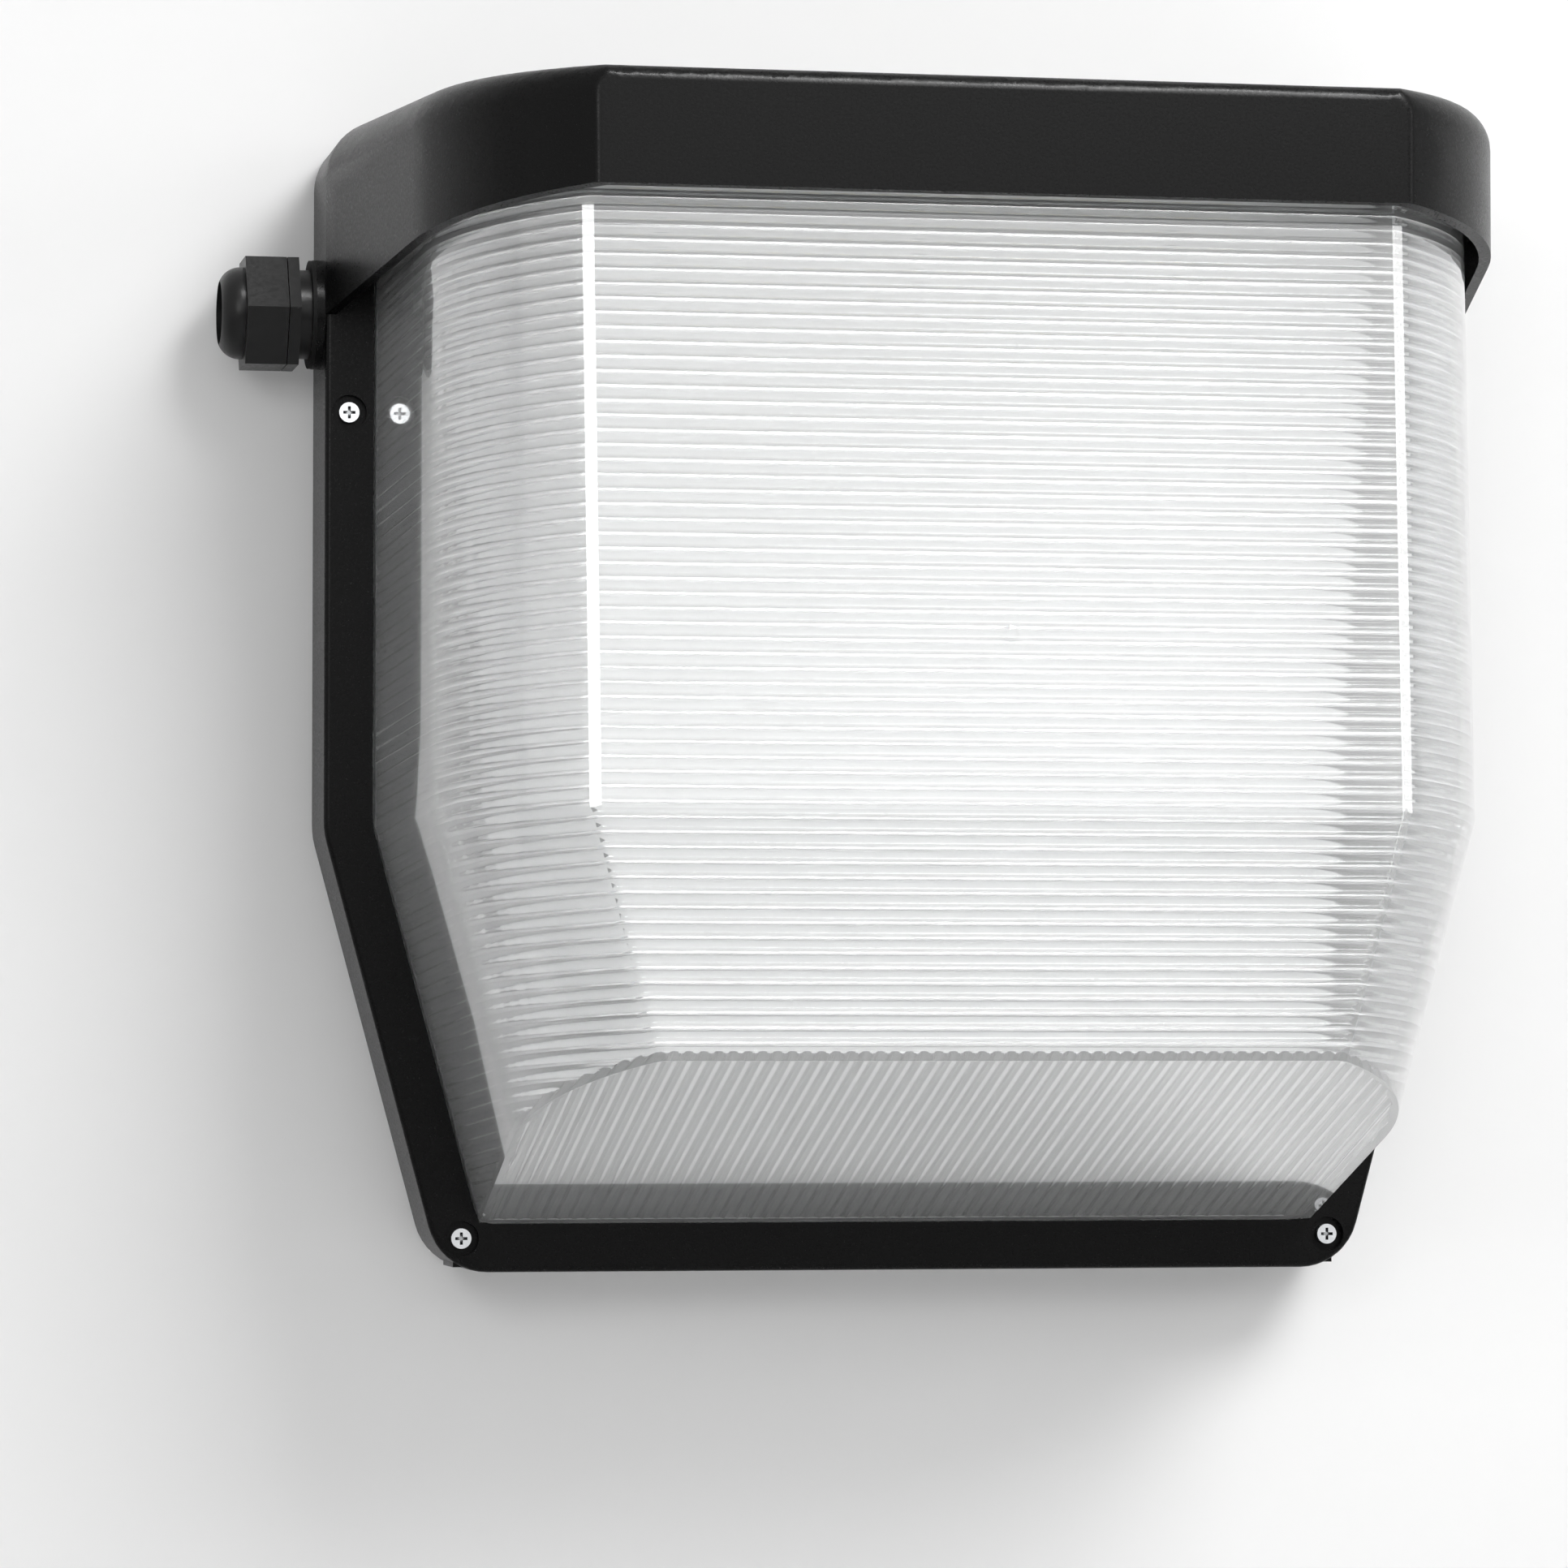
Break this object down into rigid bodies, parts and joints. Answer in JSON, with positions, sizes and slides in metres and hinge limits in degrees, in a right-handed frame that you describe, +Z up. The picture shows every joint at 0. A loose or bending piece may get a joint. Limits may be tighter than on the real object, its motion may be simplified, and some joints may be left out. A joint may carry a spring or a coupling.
{
  "type": "wall pack light",
  "caption": "Die-cast wall pack light with a deep hood, a clear ribbed refractor lens, a hinged cover on a back plate and a side cable gland.",
  "frame": {"origin": "on the wall face of the back plate, at the middle of its height and width", "axes": "+Z up along the wall, +Y into the wall, -Y out of the wall to the front, +X to the right seen from the front"},
  "size_m": [0.4347, 0.2186, 0.405],
  "materials": {
    "black_casting": "satin",
    "clear_lens": "gloss",
    "white_sheet": "satin",
    "black_nylon": "satin",
    "black_rubber": "matte",
    "grey_rubber": "matte",
    "brass": "satin",
    "bright_steel": "satin",
    "zinc_screw": "satin",
    "board_white": "satin",
    "led_yellow": "satin",
    "driver_alloy": "satin",
    "grey_plastic": "matte",
    "cream_plastic": "matte"
  },
  "bodies": {
    "wall_plate": {"back_plate": "black_casting", "plate_gasket": "black_rubber", "thread_inserts": "brass", "hinge_pin_left": "bright_steel", "hinge_pin_right": "bright_steel", "entry_grommet": "black_rubber", "earth_stud_screw": "bright_steel"},
    "luminaire": {"cover_casting": "black_casting", "refractor_lens": "clear_lens", "lens_gasket": "grey_rubber", "lens_clip_1": "bright_steel", "lens_clip_2": "bright_steel", "lens_clip_3": "bright_steel", "lens_clip_4": "bright_steel", "lens_clip_5": "bright_steel", "lens_clip_6": "bright_steel", "lens_clip_screws": "bright_steel", "reflector_tray": "white_sheet", "tray_screws": "bright_steel", "led_bracket": "white_sheet", "led_board": "board_white", "led_chips": "led_yellow", "led_bracket_screws": "bright_steel", "driver_case": "driver_alloy", "driver_end_caps": "grey_plastic", "driver_screws": "bright_steel", "terminal_block": "cream_plastic", "terminal_screws": "bright_steel", "terminal_fixing_screws": "bright_steel", "cover_screw_left": "zinc_screw", "cover_screw_right": "zinc_screw", "cover_screw_bottom_left": "zinc_screw", "cover_screw_bottom_right": "zinc_screw", "cover_screw_washers": "black_rubber", "gland_washer": "black_rubber", "gland_body": "black_nylon", "gland_seal": "black_rubber"},
    "gland_nut": {"gland_dome_nut": "black_nylon"}
  },
  "joints": [
    {"name": "cover_hinge", "type": "hinge", "parent": "wall_plate", "child": "luminaire", "pos_m": [0, -0.01, 0.203], "axis": [-1, 0, 0], "range_deg": [0, 90]},
    {"name": "gland_nut_turn", "type": "hinge", "parent": "luminaire", "child": "gland_nut", "pos_m": [-0.22, -0.0235, 0.132], "axis": [1, 0, 0], "range_deg": [0, 720]}
  ]
}
